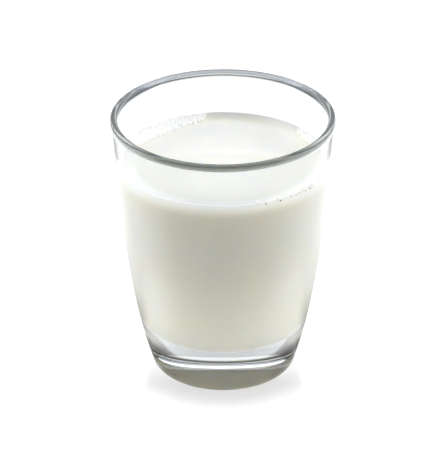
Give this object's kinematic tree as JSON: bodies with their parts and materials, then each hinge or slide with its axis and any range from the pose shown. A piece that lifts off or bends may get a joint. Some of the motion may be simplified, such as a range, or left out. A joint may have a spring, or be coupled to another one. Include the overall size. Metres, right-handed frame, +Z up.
{
  "type": "glass of milk",
  "caption": "Clear tapered glass tumbler with a heavy base and a rolled lip, filled with milk to a little below the rim, with foam bubbles along the wall.",
  "frame": {"origin": "on the axis, in the plane of the foot that the glass stands on", "axes": "+Z up along the axis of the glass, through its mouth; the longer foam raft lies towards -X and +Y"},
  "size_m": [0.082, 0.082, 0.1015],
  "materials": {
    "clear_glass": "clear, fire-polished",
    "whole_milk": "smooth wet surface, opaque"
  },
  "bodies": {
    "root": {"tumbler": "clear_glass", "milk": "whole_milk"}
  },
  "joints": []
}
